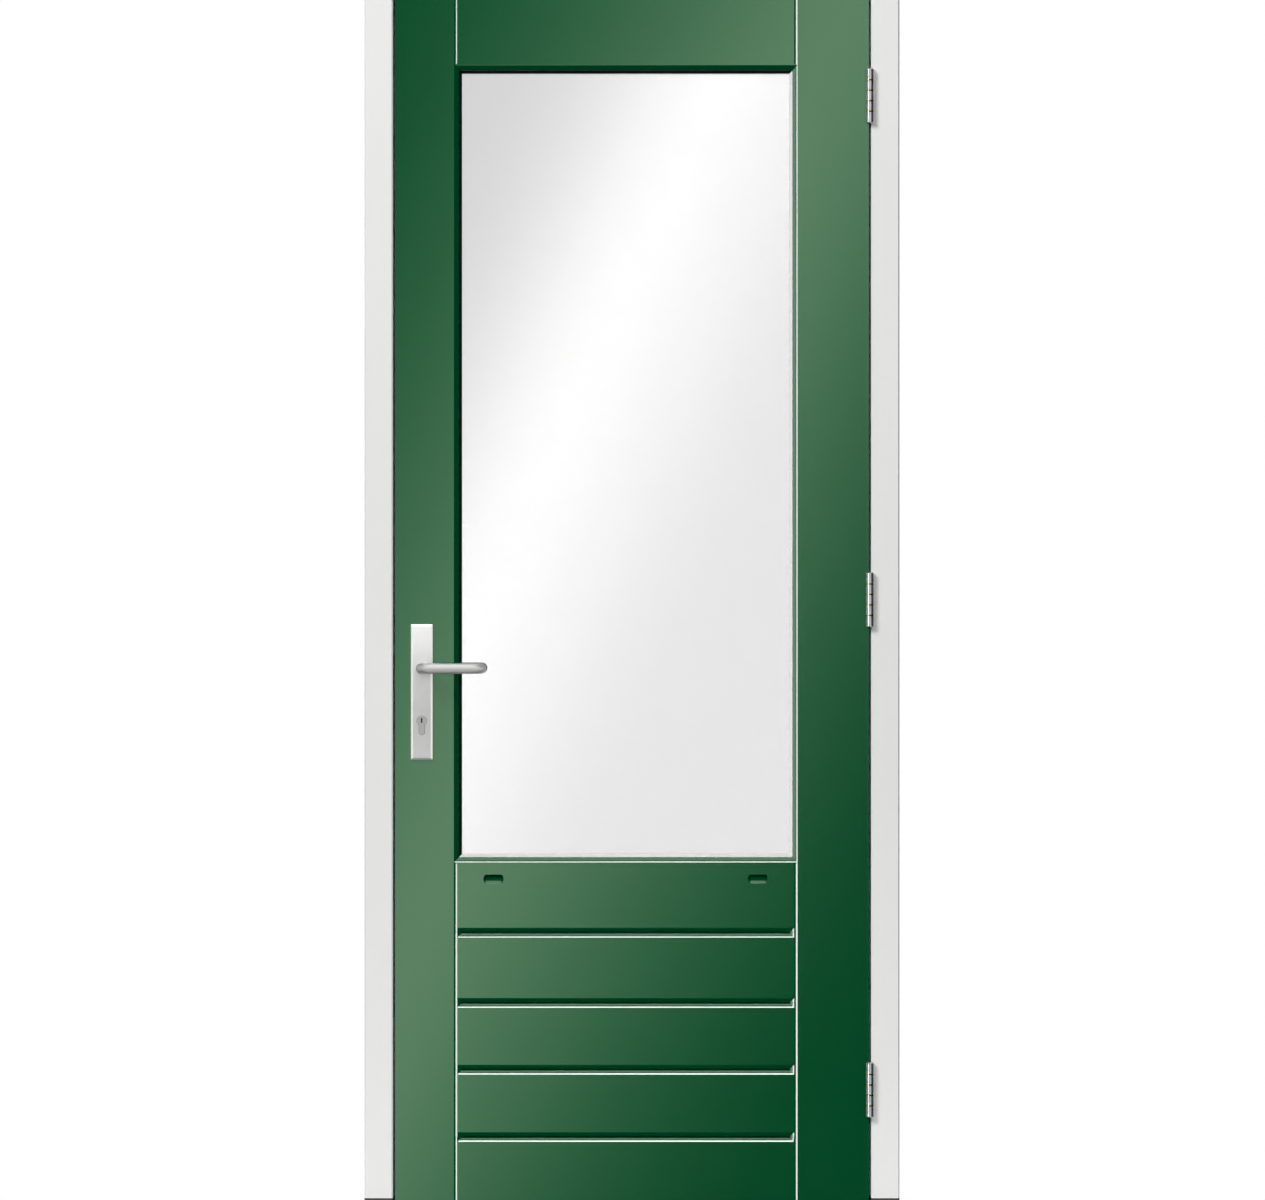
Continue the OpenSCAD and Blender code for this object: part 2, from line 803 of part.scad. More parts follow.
module seal_profile() {
    stem = kerf_w - 2 * kerf_play;
    translate([-stem / 2, -kerf_play]) square([stem, kerf_d]);
    intersection() {
        circle(bulb_r);
        translate([-bulb_r, -bulb_r]) square([2 * bulb_r, bulb_r]);
    }
}

module frame_dowel_rods(r, room = 0) {
    half = frame_dowel_l / 2 + room;
    for (x = [-thick_x, thick_x], z = [upstand_z, head_stop_z])
        rod_z(z - half, z + half, x, thick_y, r);
}

module frame_dowel_holes() {
    frame_dowel_rods(dowel_d / 2 + dowel_play, dowel_room);
}

module lock_jamb() {
    color(paint_white) difference() {
        mirror([1, 0, 0]) jamb_blank();
        frame_dowel_holes();
        block(-rebate_x - strike_t, -rebate_x + cut, strike_y0, strike_y1, strike_z0, strike_z1);
        strike_box_block(slip);
        frame_screw_places() screw_hole();
    }
}

module hinge_jamb() {
    color(paint_white) difference() {
        jamb_blank();
        frame_dowel_holes();
        hinge_recesses(rebate_x - cut, rebate_x + flap_t);
        frame_screw_places() screw_hole();
    }
}

module head() {
    color(paint_white) difference() {
        along_x(-frame_x, frame_x) polygon([
            [outer_y, head_rebate_z], [stop_y, head_rebate_z], [stop_y, head_stop_z],
            [inner_y, head_stop_z], [inner_y, frame_top_z], [outer_y, frame_top_z]
        ]);
        frame_dowel_holes();
        along_x(-rebate_x, rebate_x) translate([stop_y, head_stop_z + seal_inset]) rotate(-90) kerf();
        along_x(-rebate_x, rebate_x) translate([outer_y, head_rebate_z]) eased_edge();
        along_x(-clear_x, clear_x) translate([inner_y, head_stop_z]) eased_edge();
        for (y = [outer_y, inner_y])
            along_x(-frame_x - cut, frame_x + cut) translate([y, frame_top_z]) eased_edge();
        for (x = [-frame_x, frame_x], y = [outer_y, inner_y])
            along_z(head_stop_z - cut, frame_top_z + cut) translate([x, y]) eased_edge();
    }
}

module threshold() {
    nose_y = outer_y - nose_l;
    nose_edge = 4;
    drip_in = 8;
    drip_y = nose_y + drip_in;
    drip_w = 5;
    color(composite) difference() {
        union() {
            along_x(-frame_x, frame_x) polygon([
                [nose_y, 0], [inner_y, 0], [inner_y, upstand_z], [stop_y, upstand_z],
                [stop_y, seat_h], [nose_y + nose_edge, nose_h], [nose_y, nose_h - nose_edge]
            ]);
            for (x = [-frame_x, rebate_x])
                block(x, x + frame_x - rebate_x, outer_y, stop_y, 0, upstand_z);
        }
        rod_x(-frame_x - cut, frame_x + cut, drip_y, 0, drip_w / 2);
        frame_dowel_holes();
        along_x(-rebate_x, rebate_x) translate([stop_y, threshold_seal_z]) rotate(-90) kerf();
    }
}

module frame_dowels() {
    color(raw_wood) frame_dowel_rods(dowel_d / 2);
}

module jamb_seal() {
    along_z(upstand_z, head_stop_z) translate([clear_x + seal_inset, stop_y]) seal_profile();
}

module lock_seal() {
    color(rubber) mirror([1, 0, 0]) jamb_seal();
}

module hinge_seal() {
    color(rubber) jamb_seal();
}

module head_seal() {
    color(rubber) along_x(-rebate_x + slip, rebate_x - slip)
        translate([stop_y, head_stop_z + seal_inset]) rotate(-90) seal_profile();
}

module threshold_seal() {
    color(rubber) along_x(-rebate_x + slip, rebate_x - slip)
        translate([stop_y, threshold_seal_z]) rotate(-90) seal_profile();
}

// Block behind the strike plate, as far as the box reaches
module strike_box_block(room) {
    block(-rebate_x - strike_t - strike_box_d - room, -rebate_x - strike_t + (room > 0 ? cut : 0),
        leaf_mid_y - strike_half_y() - room, leaf_mid_y + strike_half_y() + room,
        strike_box_z0() - room, strike_box_z1() + room);
}

function strike_half_y() = bolt_t / 2 + strike_room + strike_wall;
function strike_box_z0() = bolt_z - bolt_h / 2 - strike_room - strike_wall;
function strike_box_z1() = latch_z + latch_h / 2 + strike_room + strike_wall;

// Mouths that the latch and the dead bolt enter
module strike_mouths(x0, x1) {
    half = bolt_t / 2 + strike_room;
    for (m = [[latch_z, latch_h], [bolt_z, bolt_h]])
        block(x0, x1, leaf_mid_y - half, leaf_mid_y + half,
            m[0] - m[1] / 2 - strike_room, m[0] + m[1] / 2 + strike_room);
}

module strike_plate() {
    color(steel) difference() {
        block(-rebate_x - strike_t, -rebate_x, strike_y0, strike_y1, strike_z0, strike_z1);
        strike_mouths(-rebate_x - strike_t - cut, -rebate_x + cut);
        for (z = strike_screw_z) to_left(-rebate_x, leaf_mid_y, z) screw_hole();
    }
}

module strike_box() {
    color(rubber) difference() {
        strike_box_block(0);
        strike_mouths(-rebate_x - strike_t - strike_box_d + strike_wall, -rebate_x);
    }
}

module frame_screws() {
    color(steel) frame_screw_places() screw_solid();
}

module frame_hinge_leaf_top() { frame_hinge_leaf(0); }
module frame_hinge_leaf_middle() { frame_hinge_leaf(1); }
module frame_hinge_leaf_bottom() { frame_hinge_leaf(2); }

module hinge_pins() {
    head_r = barrel_r;
    tip_r = pin_r;
    color(steel) for (z = hinge_z) {
        rod_z(z - hinge_h / 2 - ring_play, z + hinge_h / 2 + ring_play, hinge_x, hinge_y, pin_r);
        for (end = [-1, 1])
            translate([hinge_x, hinge_y, z]) mirror([0, 0, end < 0 ? 1 : 0])
                translate([0, 0, hinge_h / 2 + ring_play]) {
                    cylinder(h = pin_head_h / 2, r = head_r);
                    translate([0, 0, pin_head_h / 2]) cylinder(h = pin_head_h / 2, r1 = head_r, r2 = tip_r);
                }
    }
}

module hinge_rings() {
    color(brass) for (z = hinge_z, i = [1 : knuckles - 1]) difference() {
        rod_z(knuckle_z(z, i) - ring_t + ring_play, knuckle_z(z, i) - ring_play, hinge_x, hinge_y, barrel_r);
        rod_z(knuckle_z(z, i) - ring_t, knuckle_z(z, i), hinge_x, hinge_y, pin_r + pin_play);
    }
}

module lock_stile() {
    color(paint_green) difference() {
        union() {
            block(leaf_l, open_l, outer_y, leaf_back_y, leaf_z0, leaf_z1);
            shoulders(open_l - cut, rail_l);
            lip(LEFT);
        }
        glazing_room();
        vee_joints();
        board_groove();
        dowel_holes();
        block(leaf_l - cut, case_x1 + slip, case_y0 - slip, case_y1 + slip, case_z0 - slip, case_z1 + slip);
        forend_outline(leaf_l - cut, leaf_l + forend_t, slip);
        rod_y(outer_y - cut, leaf_back_y + cut, lock_x, lever_z, lever_r);
        along_y(outer_y - cut, leaf_back_y + cut) cylinder_outline(cylinder_room);
        for (z = plate_screw_z) rod_y(outer_y - cut, leaf_back_y + cut, lock_x, z, post_r + slip);
        for (z = forend_screw_z) to_right(leaf_l, leaf_mid_y, z) screw_hole();
    }
}

module hinge_stile() {
    color(paint_green) difference() {
        union() {
            block(open_r, leaf_r, outer_y, leaf_back_y, leaf_z0, leaf_z1);
            shoulders(rail_r, open_r + cut);
            lip(RIGHT);
        }
        glazing_room();
        vee_joints();
        board_groove();
        dowel_holes();
        hinge_recesses(leaf_r - flap_t, leaf_r + cut);
        for (z = hinge_z) at_hinge_screws(z) to_left(leaf_r, 0, 0) screw_hole();
    }
}

module top_rail() {
    color(paint_green) difference() {
        union() {
            between_stiles(open_z1, leaf_z1);
            lip(TOP);
        }
        glazing_room();
        dowel_holes();
    }
}

// Slanted drain slots from the glazing rebate to the outer face
module drain_slots() {
    slot_h = drain_h * cos(drain_slope);
    length = 2 * drain_below;
    z = open_z0 - drain_below;
    for (x = [rail_l + drain_in, rail_r - drain_in])
        translate([x, outer_y, z]) rotate([drain_slope, 0, 0]) {
            along_y(-drain_h, length) {
                square([drain_w - slot_h, slot_h], center = true);
                for (end = [-1, 1]) translate([end * (drain_w - slot_h) / 2, 0]) circle(slot_h / 2);
            }
        }
}

module mid_rail() {
    color(paint_green) difference() {
        union() {
            between_stiles(seam_4, open_z0);
            lip(BOTTOM);
        }
        glazing_room();
        dowel_holes();
        seams([seam_4]);
        lower_groove(seam_4);
        intersection() {
            drain_slots();
            block(rail_l, rail_r, outer_y - cut, leaf_back_y, seam_4, rebate[2] + cut);
        }
    }
}

// A board tongued into the stiles and into the piece above it
module board(z0, z1) {
    color(paint_green) difference() {
        union() {
            between_stiles(z0, z1);
            tongue(rail_l - tongue_l, rail_r + tongue_l, z0, z1);
            tongue(rail_l, rail_r, z1 - cut, z1 + tongue_l);
        }
        lower_groove(z0);
        seams([z0, z1]);
    }
}

module upper_board() { board(seam_3, seam_4); }
module middle_board() { board(seam_2, seam_3); }
module lower_board() { board(seam_1, seam_2); }

module bottom_rail() {
    drip_w = 6;
    drip_in = 10;
    drip_y = outer_y + drip_in;
    color(paint_green) difference() {
        union() {
            between_stiles(leaf_z0, seam_1);
            tongue(rail_l, rail_r, seam_1 - cut, seam_1 + tongue_l);
        }
        dowel_holes();
        seams([seam_1]);
        rod_x(rail_l - cut, rail_r + cut, drip_y, leaf_z0, drip_w / 2);
    }
}

module leaf_dowels() {
    color(raw_wood) leaf_dowel_rods(dowel_d / 2);
}

module pane(y) {
    color(clear) block(glass[0], glass[1], y, y + pane_t, glass[2], glass[3]);
}

module outer_pane() { pane(pane_y); }
module inner_pane() { pane(inner_pane_y); }

// Flat ring between two rectangles
module ring(outer, inner, y0, y1) {
    difference() {
        block(outer[0], outer[1], y0, y1, outer[2], outer[3]);
        block(inner[0], inner[1], y0 - cut, y1 + cut, inner[2], inner[3]);
    }
}

module glass_spacer() {
    hidden_by = 0.5;
    color(satin) ring(glass, inset(sight, -hidden_by), cavity_y, inner_pane_y);
}

// Outer seal, with a lip that slopes from the wood down to the glass
module outer_glazing_seal() {
    edge_t = 0.8;
    edge_y = pane_y - edge_t;
    end_y = pane_y + cut;
    hidden = inset(sight, -glazing_seal_w);
    show = inset(sight, seal_lip_w);
    color(rubber) difference() {
        block(hidden[0], hidden[1], lip_y, pane_y, hidden[2], hidden[3]);
        intersection() {
            along_z(show[2] - glazing_seal_w, show[3] + glazing_seal_w) polygon([
                [sight[0], lip_y - cut], [sight[0], lip_y], [show[0], edge_y], [show[0], end_y],
                [show[1], end_y], [show[1], edge_y], [sight[1], lip_y], [sight[1], lip_y - cut]
            ]);
            along_x(show[0] - glazing_seal_w, show[1] + glazing_seal_w) polygon([
                [lip_y - cut, sight[2]], [lip_y, sight[2]], [edge_y, show[2]], [end_y, show[2]],
                [end_y, show[3]], [edge_y, show[3]], [lip_y, sight[3]], [lip_y - cut, sight[3]]
            ]);
        }
    }
}

module inner_glazing_seal() {
    recess = 0.5;
    inner = inset(sight, -recess);
    color(rubber) ring(inset(inner, -glazing_seal_w), inner, inner_seal_y, inner_seal_y + inner_seal_t);
}

// Two blocks carry the glass, and two more hold it off the stiles at opposite corners
module setting_blocks() {
    corner = 60;
    x_step = (glass[1] - glass[0]) / 4;
    mid_x = (glass[0] + glass[1]) / 2;
    color(rubber) {
        for (x = [mid_x - x_step, mid_x + x_step])
            block(x - block_l / 2, x + block_l / 2, pane_y, inner_seal_y, rebate[2], glass[2]);
        block(rebate[0], glass[0], pane_y, inner_seal_y, glass[3] - corner - block_l, glass[3] - corner);
        block(glass[1], rebate[1], pane_y, inner_seal_y, glass[2] + corner, glass[2] + corner + block_l);
    }
}

module bead(side) {
    outer = inset(rebate, bead_play);
    w = glazing_rebate - bead_play;
    color(paint_green) intersection() {
        run_along(side, outer) polygon([
            [0, bead_y], [w, bead_y], [w, bead_y + bead_edge_t],
            [w - bead_slope_w, leaf_back_y], [0, leaf_back_y]
        ]);
        mitred_side(side, outer, sight, bead_y, leaf_back_y);
    }
}

module left_bead() { bead(LEFT); }
module right_bead() { bead(RIGHT); }
module top_bead() { bead(TOP); }
module bottom_bead() { bead(BOTTOM); }

module door_hinge_leaf_top() { door_hinge_leaf(0); }
module door_hinge_leaf_middle() { door_hinge_leaf(1); }
module door_hinge_leaf_bottom() { door_hinge_leaf(2); }

module door_screws() {
    color(steel) door_screw_places() screw_solid();
}

// Openings for the latch and the dead bolt
module bolt_openings(x0, x1) {
    half = bolt_t / 2 + slip;
    for (m = [[latch_z, latch_h], [bolt_z, bolt_h]])
        block(x0, x1, leaf_mid_y - half, leaf_mid_y + half,
            m[0] - m[1] / 2 - slip, m[0] + m[1] / 2 + slip);
}

// Holes through the flat sides of the lock case
module case_side_holes(y0, y1) {
    rod_y(y0, y1, lock_x, lever_z, follower_boss_r + turn_play);
    along_y(y0, y1) cylinder_outline(slip);
}

module lock_case() {
    y1 = case_y1 - case_wall;
    color(steel) difference() {
        union() {
            difference() {
                block(case_x0, case_x1, case_y0, y1, case_z0, case_z1);
                block(case_x0 + case_wall, case_x1 - case_wall, case_y0 + case_wall, y1 + cut,
                    case_z0 + case_wall, case_z1 - case_wall);
            }
            block(guide_x, guide_x + guide_t, case_y0, y1, latch_z - latch_rod_r - guide_t, case_z1);
        }
        rod_x(guide_x - cut, guide_x + guide_t + cut, leaf_mid_y, latch_z, latch_rod_r + slip);
        bolt_openings(case_x0 - cut, case_x0 + case_wall + cut);
        case_side_holes(case_y0 - cut, case_y0 + case_wall + cut);
        rod_x(case_x0 - cut, case_x0 + case_wall + cut, leaf_mid_y, cylinder_screw_z,
            cylinder_screw_r + slip);
    }
}

module lock_cover() {
    color(steel) difference() {
        block(case_x0, case_x1, case_y1 - case_wall, case_y1, case_z0, case_z1);
        case_side_holes(case_y1 - case_wall - cut, case_y1 + cut);
    }
}

// Forend with round ends
module forend_outline(x0, x1, play = 0) {
    r = forend_w / 2 + play;
    half = forend_l / 2 - forend_w / 2;
    along_x(x0, x1) translate([leaf_mid_y, forend_z]) {
        square([2 * r, 2 * half], center = true);
        for (end = [-1, 1]) translate([0, end * half]) circle(r);
    }
}

module cylinder_screw_at(play = 0, room = 0) {
    rod_x(leaf_l - room, lock_x, leaf_mid_y, cylinder_screw_z, cylinder_screw_r + play);
    to_right(leaf_l, leaf_mid_y, cylinder_screw_z)
        cylinder(h = screw_head_h, r1 = screw_head_r + play, r2 = cylinder_screw_r + play);
}

module forend() {
    color(steel) difference() {
        forend_outline(leaf_l, leaf_l + forend_t);
        bolt_openings(leaf_l - cut, leaf_l + forend_t + cut);
        for (z = forend_screw_z) to_right(leaf_l, leaf_mid_y, z) screw_hole();
        cylinder_screw_at(screw_play, cut);
    }
}

// Coiled wire, swept along a helix round the latch's rod
module latch_spring() {
    x0 = latch_back + spring_wire_r + slip;
    x1 = guide_x - spring_wire_r - slip;
    n = spring_turns * spring_steps;
    s = spring_sides;
    points = [
        for (i = [0 : n], j = [0 : s - 1])
            let (turn = 360 * i / spring_steps, side = 360 * j / s, r = spring_r + spring_wire_r * cos(side))
                [
                    x0 + (x1 - x0) * i / n + spring_wire_r * sin(side),
                    leaf_mid_y + r * cos(turn),
                    latch_z + r * sin(turn)
                ]
    ];
    sides = [
        for (i = [0 : n - 1], j = [0 : s - 1])
            [i * s + j, i * s + (j + 1) % s, (i + 1) * s + (j + 1) % s, (i + 1) * s + j]
    ];
    first = [for (j = [s - 1 : -1 : 0]) j];
    last = [for (j = [0 : s - 1]) n * s + j];
    color(steel) polyhedron(points, concat(sides, [first, last]), convexity = 10);
}

module cylinder_body() {
    slot = cam_w / 2 + cam_play;
    color(brass) difference() {
        along_y(cylinder_y0, cylinder_y1) cylinder_outline();
        rod_y(cylinder_y0 - cut, cylinder_y1 + cut, lock_x, cylinder_z, plug_r + turn_play);
        block(lock_x - cylinder_r - cut, lock_x + cylinder_r + cut, leaf_mid_y - slot, leaf_mid_y + slot,
            cylinder_z + bridge_z, cylinder_z + cylinder_r + cut);
        rod_x(lock_x - lobe_w, lock_x + lobe_w, leaf_mid_y, cylinder_screw_z, cylinder_screw_r + screw_play);
    }
}

module cylinder_screw() {
    color(steel) difference() {
        cylinder_screw_at();
        to_right(leaf_l, leaf_mid_y, cylinder_screw_z) cross_recess();
    }
}

module outside_plate() {
    color(satin) difference() {
        union() {
            plate_blank();
            for (z = plate_screw_z) rod_y(outer_y - cut, outer_y + post_l, lock_x, z, post_r);
        }
        plate_cuts();
        for (z = plate_screw_z)
            rod_y(outer_y, outer_y + post_l + cut, lock_x, z, plate_screw_r + screw_play);
    }
}

module plate_screw_head(z) {
    translate([lock_x, leaf_back_y + plate_t, z]) rotate([90, 0, 0]) children();
}

// Countersunk bolt from the inside plate into the outside plate's post
module plate_screw_at(z, play = 0, room = 0) {
    y1 = leaf_back_y + plate_t;
    rod_y(outer_y + plate_screw_end, y1, lock_x, z, plate_screw_r + play);
    plate_screw_head(z) cylinder(h = screw_head_h, r1 = screw_head_r + play, r2 = plate_screw_r + play);
    if (room > 0) rod_y(y1, y1 + room, lock_x, z, screw_head_r + play);
}

module inside_plate() {
    color(satin) difference() {
        other_face() plate_blank();
        other_face() plate_cuts();
        for (z = plate_screw_z) plate_screw_at(z, screw_play, cut);
    }
}

module plate_screws() {
    color(steel) for (z = plate_screw_z) difference() {
        plate_screw_at(z);
        plate_screw_head(z) cross_recess();
    }
}

module lever_bush() {
    difference() {
        rod_y(outer_y - plate_t + plate_front + turn_play, outer_y, lock_x, lever_z, bush_r());
        rod_y(outer_y - plate_t, outer_y + cut, lock_x, lever_z, lever_r + turn_play);
    }
}

module lever_bushes() {
    color(rubber) {
        lever_bush();
        other_face() lever_bush();
    }
}

module outside_lever() { color(satin) lever_bar(); }
module inside_lever() { color(satin) other_face() lever_bar(); }

module spindle() {
    half = spindle_w / 2;
    color(steel) block(lock_x - half, lock_x + half, outer_y - spindle_reach, leaf_back_y + spindle_reach,
        lever_z - half, lever_z + half);
}

module follower() {
    half = case_t / 2 - case_wall - slip;
    color(steel) difference() {
        union() {
            rod_y(leaf_mid_y - half, leaf_mid_y + half, lock_x, lever_z, follower_r);
            rod_y(case_y0, case_y1, lock_x, lever_z, follower_boss_r);
            block(lock_x - arm_w / 2, lock_x + arm_w / 2, leaf_mid_y - arm_t / 2, leaf_mid_y + arm_t / 2,
                lever_z, lever_z + arm_h);
        }
        square_hole(case_y0 - cut, case_y1 + cut);
    }
}

module grub_screw() {
    top = lever_z - spindle_w / 2;
    rod_z(top - grub_l, top, lock_x, outer_y - grub_out, grub_r);
}

module grub_screws() {
    color(steel) {
        grub_screw();
        other_face() grub_screw();
    }
}

// The latch's slanted side meets the frame as the door closes inwards
module latch_bolt() {
    half = bolt_t / 2;
    tip = leaf_l - latch_out;
    color(steel) {
        along_z(latch_z - latch_h / 2, latch_z + latch_h / 2) polygon([
            [tip, leaf_mid_y - half], [tip, leaf_mid_y - half + latch_edge],
            [leaf_l - latch_edge, leaf_mid_y + half],
            [latch_back, leaf_mid_y + half], [latch_back, leaf_mid_y - half]
        ]);
        rod_x(latch_back - cut, latch_rod_end, leaf_mid_y, latch_z, latch_rod_r);
        block(post_x, post_x + post_t, leaf_mid_y - arm_t / 2, leaf_mid_y + arm_t / 2, post_z, latch_z);
    }
}

module dead_bolt() {
    half = bolt_t / 2;
    tail = bolt_tail_t / 2;
    color(steel) {
        block(leaf_l + bolt_rest, bolt_back, leaf_mid_y - half, leaf_mid_y + half,
            bolt_z - bolt_h / 2, bolt_z + bolt_h / 2);
        block(bolt_back - cut, bolt_tail, leaf_mid_y - tail, leaf_mid_y + tail,
            bolt_z - bolt_tail_h / 2, bolt_z + bolt_tail_h / 2);
    }
}

// Plug with its keyway in the face
module plug(y0, y1, face_y) {
    top = cylinder_z + plug_r - key_edge;
    bottom = top - key_h;
    short = key_depth - key_h;
    difference() {
        rod_y(y0, y1, lock_x, cylinder_z, plug_r);
        along_x(lock_x - key_w / 2, lock_x + key_w / 2) polygon([
            [face_y - key_depth, bottom], [face_y - short, top],
            [face_y + short, top], [face_y + key_depth, bottom]
        ]);
    }
}

module outside_plug() {
    color(brass) plug(cylinder_y0, leaf_mid_y - cam_w / 2 - cam_play, cylinder_y0);
}

module inside_plug() {
    color(brass) plug(leaf_mid_y + cam_w / 2 + cam_play, cylinder_y1, cylinder_y1);
}

module cylinder_cam() {
    half = cam_w / 2;
    color(steel) {
        rod_y(leaf_mid_y - half, leaf_mid_y + half, lock_x, cylinder_z, cam_hub_r);
        intersection() {
            block(lock_x - cam_nose_w / 2, lock_x + cam_nose_w / 2, leaf_mid_y - half, leaf_mid_y + half,
                cylinder_z - cam_reach, cylinder_z);
            rod_y(leaf_mid_y - half - cut, leaf_mid_y + half + cut, lock_x, cylinder_z, cam_reach);
        }
    }
}

lock_jamb();
hinge_jamb();
head();
threshold();
frame_dowels();
lock_seal();
hinge_seal();
head_seal();
threshold_seal();
strike_plate();
strike_box();
frame_screws();
frame_hinge_leaf_top();
frame_hinge_leaf_middle();
frame_hinge_leaf_bottom();
hinge_pins();
hinge_rings();
lock_stile();
hinge_stile();
top_rail();
mid_rail();
upper_board();
middle_board();
lower_board();
bottom_rail();
leaf_dowels();
outer_pane();
inner_pane();
glass_spacer();
outer_glazing_seal();
inner_glazing_seal();
setting_blocks();
left_bead();
right_bead();
top_bead();
bottom_bead();
door_hinge_leaf_top();
door_hinge_leaf_middle();
door_hinge_leaf_bottom();
door_screws();
lock_case();
lock_cover();
forend();
latch_spring();
cylinder_body();
cylinder_screw();
outside_plate();
inside_plate();
plate_screws();
lever_bushes();
outside_lever();
inside_lever();
spindle();
follower();
grub_screws();
latch_bolt();
dead_bolt();
outside_plug();
inside_plug();
cylinder_cam();
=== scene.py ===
import math

import bmesh
import bpy
from mathutils import Matrix, Vector


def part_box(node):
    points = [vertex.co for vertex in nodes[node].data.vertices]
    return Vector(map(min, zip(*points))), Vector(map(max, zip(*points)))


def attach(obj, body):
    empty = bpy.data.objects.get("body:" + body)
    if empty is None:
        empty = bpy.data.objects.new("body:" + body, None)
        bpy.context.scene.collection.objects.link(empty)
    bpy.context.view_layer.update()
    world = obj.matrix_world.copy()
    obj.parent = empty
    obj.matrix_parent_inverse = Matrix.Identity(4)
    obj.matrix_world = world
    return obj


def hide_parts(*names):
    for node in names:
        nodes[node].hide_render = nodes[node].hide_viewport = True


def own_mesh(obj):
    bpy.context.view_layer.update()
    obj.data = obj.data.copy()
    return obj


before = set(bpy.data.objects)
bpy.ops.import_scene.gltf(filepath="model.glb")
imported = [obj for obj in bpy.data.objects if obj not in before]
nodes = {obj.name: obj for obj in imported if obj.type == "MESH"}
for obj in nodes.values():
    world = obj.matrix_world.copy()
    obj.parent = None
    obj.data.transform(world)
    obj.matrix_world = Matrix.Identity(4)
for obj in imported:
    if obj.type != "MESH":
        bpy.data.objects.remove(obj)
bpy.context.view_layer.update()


# Camera: a long lens straight in front of the leaf, level with its middle, so that the leaf fills the
# picture's height and all its lines stay upright. The leaf's outer face lies at face_y.
def show(name, data):
    """A new object of the scene that holds this data."""
    made = bpy.data.objects.new(name, data)
    bpy.context.scene.collection.objects.link(made)
    return made


face_y = -0.057
eye_x, eye_z, eye_gap = 0.000876, 1.1095, 12.306
eye = bpy.data.cameras.new("eye")
eye.lens = 200
eye.sensor_width = 36
eye.clip_end = 200
camera = show("eye", eye)
camera.location = (eye_x, face_y - eye_gap, eye_z)
camera.rotation_euler = (math.radians(90), 0, 0)
bpy.context.scene.camera = camera


# Painted leaf: stiles, rails, boards and glazing beads of softwood, dowelled and tongued together under a
# brushed gloss coat of dark green. The brush follows the length of each piece, so upright and level pieces
# have their own paint.
class Field:
    """A shader socket: arithmetic on it adds Math nodes, and make() adds any other node."""

    def __init__(self, tree, socket=None):
        self.tree = tree
        self.socket = socket

    def make(self, kind, settings=None, values=None, out=0):
        node = self.tree.nodes.new("ShaderNode" + kind)
        for key, value in (settings or {}).items():
            setattr(node, key, value)
        for key, value in (values or {}).items():
            if isinstance(value, Field):
                self.tree.links.new(value.socket, node.inputs[key])
            else:
                node.inputs[key].default_value = value
        return Field(self.tree, node.outputs[out])

    def math(self, operation, *terms):
        return self.make("Math", {"operation": operation}, dict(enumerate(terms)))

    def __add__(self, other):
        return self.math("ADD", self, other)

    def __sub__(self, other):
        return self.math("SUBTRACT", self, other)

    def __rsub__(self, other):
        return self.math("SUBTRACT", other, self)

    def __mul__(self, other):
        return self.math("MULTIPLY", self, other)

    def __truediv__(self, other):
        return self.math("DIVIDE", self, other)

    def __pow__(self, other):
        return self.math("POWER", self, other)

    __radd__ = __add__
    __rmul__ = __mul__

    def place(self, scale=(1, 1, 1)):
        """The point on the piece in metres, stretched by scale."""
        point = self.make("TexCoord", out="Object")
        return self.make("VectorMath", {"operation": "MULTIPLY"}, {0: point, 1: scale})

    def noise(self, scale, detail=2.0, stretch=(1, 1, 1), rough=0.5):
        """Noise round 0, from about -0.5 to 0.5, with `scale` waves to the metre."""
        values = {"Vector": self.place(stretch), "Scale": scale, "Detail": detail, "Roughness": rough}
        return self.make("TexNoise", None, values, "Fac") - 0.5

    def blend(self, low, high):
        """A colour from low to high as this field goes from 0 to 1."""
        return self.make("Mix", {"data_type": "RGBA"}, {0: self, 6: low + (1,), 7: high + (1,)}, 2)

    def bump(self, depth, strength=1.0):
        """A normal for this field as a height, `depth` metres from 0 to 1."""
        return self.make("Bump", None, {"Height": self, "Distance": depth, "Strength": strength})


def material(name, **constants):
    """A new material, the field to start its shader maths from, and its shader."""
    made = bpy.data.materials.new(name)
    made.use_nodes = True
    shader = made.node_tree.nodes["Principled BSDF"]
    for key, value in constants.items():
        shader.inputs[key.replace("_", " ")].default_value = value
    return made, Field(made.node_tree), shader


def feed(shader, **fields):
    """Links fields to the shader's inputs of these names."""
    for key, field in fields.items():
        field.tree.links.new(field.socket, shader.inputs[key.replace("_", " ")])


def lengthways(along, share):
    """The stretch that draws noise out along one axis, to `share` as many waves there."""
    return tuple(share if axis == along else 1.0 for axis in range(3))


def dress(names, finish):
    """Gives CAD pieces this material."""
    for name in names.split():
        nodes[name].data.materials.clear()
        nodes[name].data.materials.append(finish)


def ease(names, width):
    """Rounds the sharp edges of CAD pieces by `width` metres."""
    for name in names.split():
        mods = nodes[name].modifiers
        weld = mods.new("weld", "WELD")
        weld.merge_threshold = 1e-5
        flat = mods.new("flat", "DECIMATE")
        flat.decimate_type = "DISSOLVE"
        flat.angle_limit = math.radians(0.4)
        arris = mods.new("arris", "BEVEL")
        arris.width = width
        arris.segments = 2
        arris.limit_method = "ANGLE"
        arris.angle_limit = math.radians(14)
        mods.new("normals", "WEIGHTED_NORMAL")


